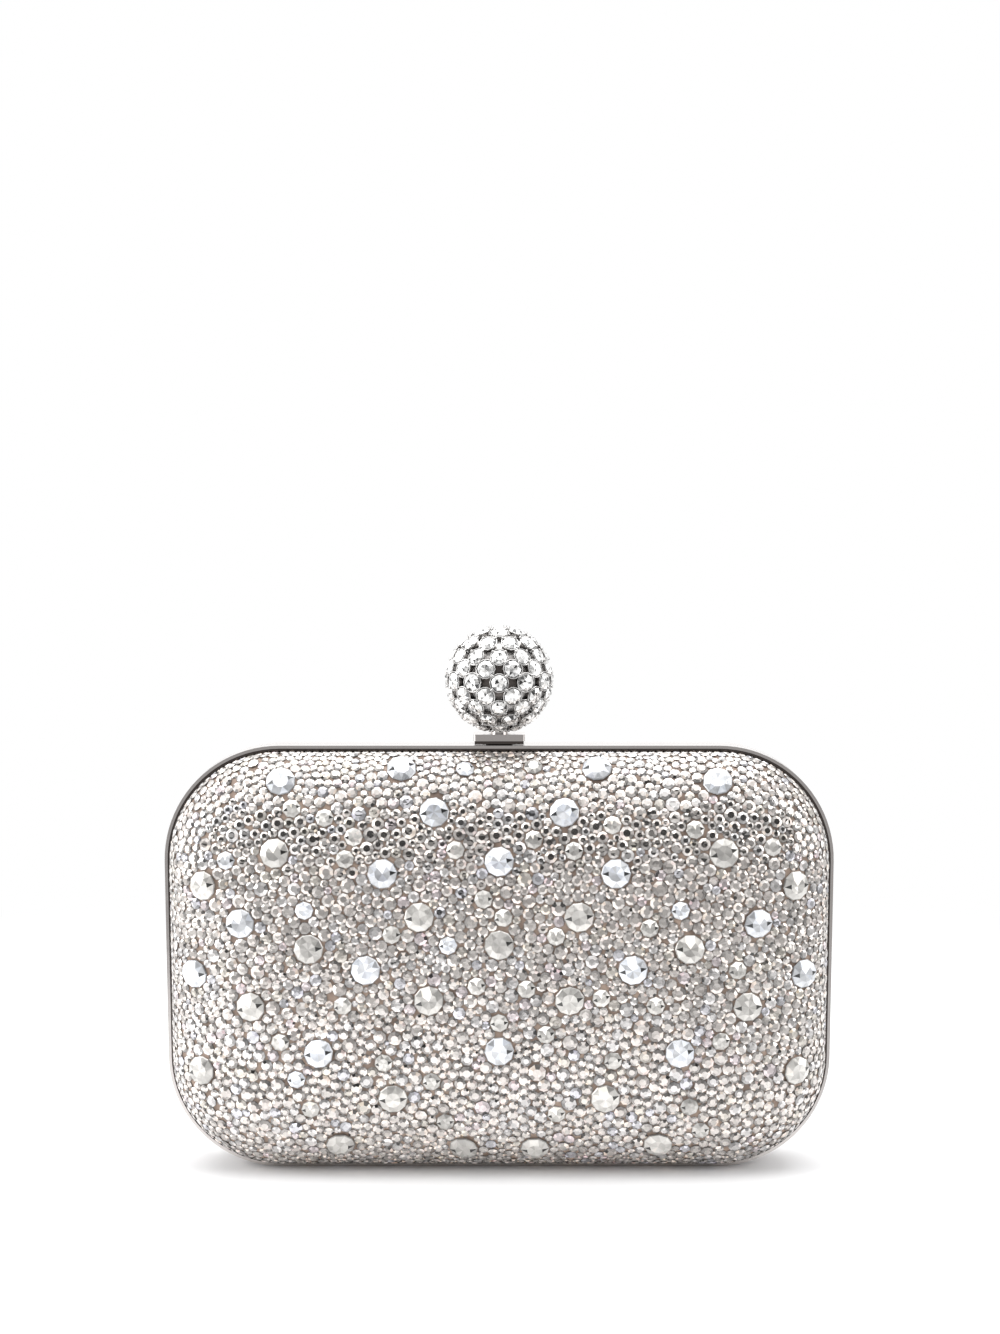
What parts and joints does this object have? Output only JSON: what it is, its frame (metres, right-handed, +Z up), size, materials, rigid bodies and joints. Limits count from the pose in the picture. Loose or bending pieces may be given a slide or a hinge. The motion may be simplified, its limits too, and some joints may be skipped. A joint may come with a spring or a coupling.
{
  "type": "minaudiere",
  "caption": "Rigid box clutch with pillowed, stone-covered metal shells in rounded frames, hinged along the bottom and held shut by a tipping clasp under a ball of set stones.",
  "frame": {"origin": "bottom centre: on the floor, midway across the width and in the plane where the halves meet", "axes": "X across the width, front towards -Y, Z up"},
  "size_m": [0.17, 0.05, 0.1394],
  "materials": {
    "shell": "pressed metal with a thin blush-beige adhesive coat",
    "frame": "gunmetal-grey plated, fine brushing",
    "lining": "soft grey suede",
    "pocket": "grey woven lining cloth",
    "stones": "clear cut crystal with a mirrored back",
    "hinge": "plated steel",
    "rivets": "plated steel",
    "pins": "drawn steel",
    "spring": "spring steel",
    "ball_core": "dark plated metal",
    "cups": "bright silver plating"
  },
  "bodies": {
    "rear_half": {"rear_shell": "shell", "rear_frame": "frame", "rear_lining": "lining", "rear_pocket": "pocket", "rear_large_stones": "stones", "rear_medium_stones": "stones", "rear_pave_stones": "stones", "rear_hinge_leaf": "hinge", "rear_hinge_rivets": "rivets", "hinge_pin": "pins", "clasp_bracket": "hinge", "bracket_rivets": "rivets", "clasp_pin": "pins", "clasp_spring": "spring"},
    "front_half": {"front_shell": "shell", "front_frame": "frame", "front_lining": "lining", "front_large_stones": "stones", "front_medium_stones": "stones", "front_pave_stones": "stones", "front_hinge_leaf": "hinge", "front_hinge_rivets": "rivets"},
    "clasp": {"clasp_lever": "frame", "ball_stem": "cups", "ball_core": "ball_core", "ball_cups": "cups", "ball_stones": "stones"}
  },
  "joints": [
    {"name": "lid_hinge", "type": "hinge", "parent": "rear_half", "child": "front_half", "pos_m": [0, 0, 0.0016], "axis": [1, 0, 0], "range_deg": [0, 90]},
    {"name": "clasp_pivot", "type": "hinge", "parent": "rear_half", "child": "clasp", "pos_m": [0, 0.0038, 0.1085], "axis": [-1, 0, 0], "range_deg": [0, 18], "stiffness_Nm_per_rad": 0.06, "springref_deg": -2.86, "deforming": ["clasp_spring"]}
  ]
}
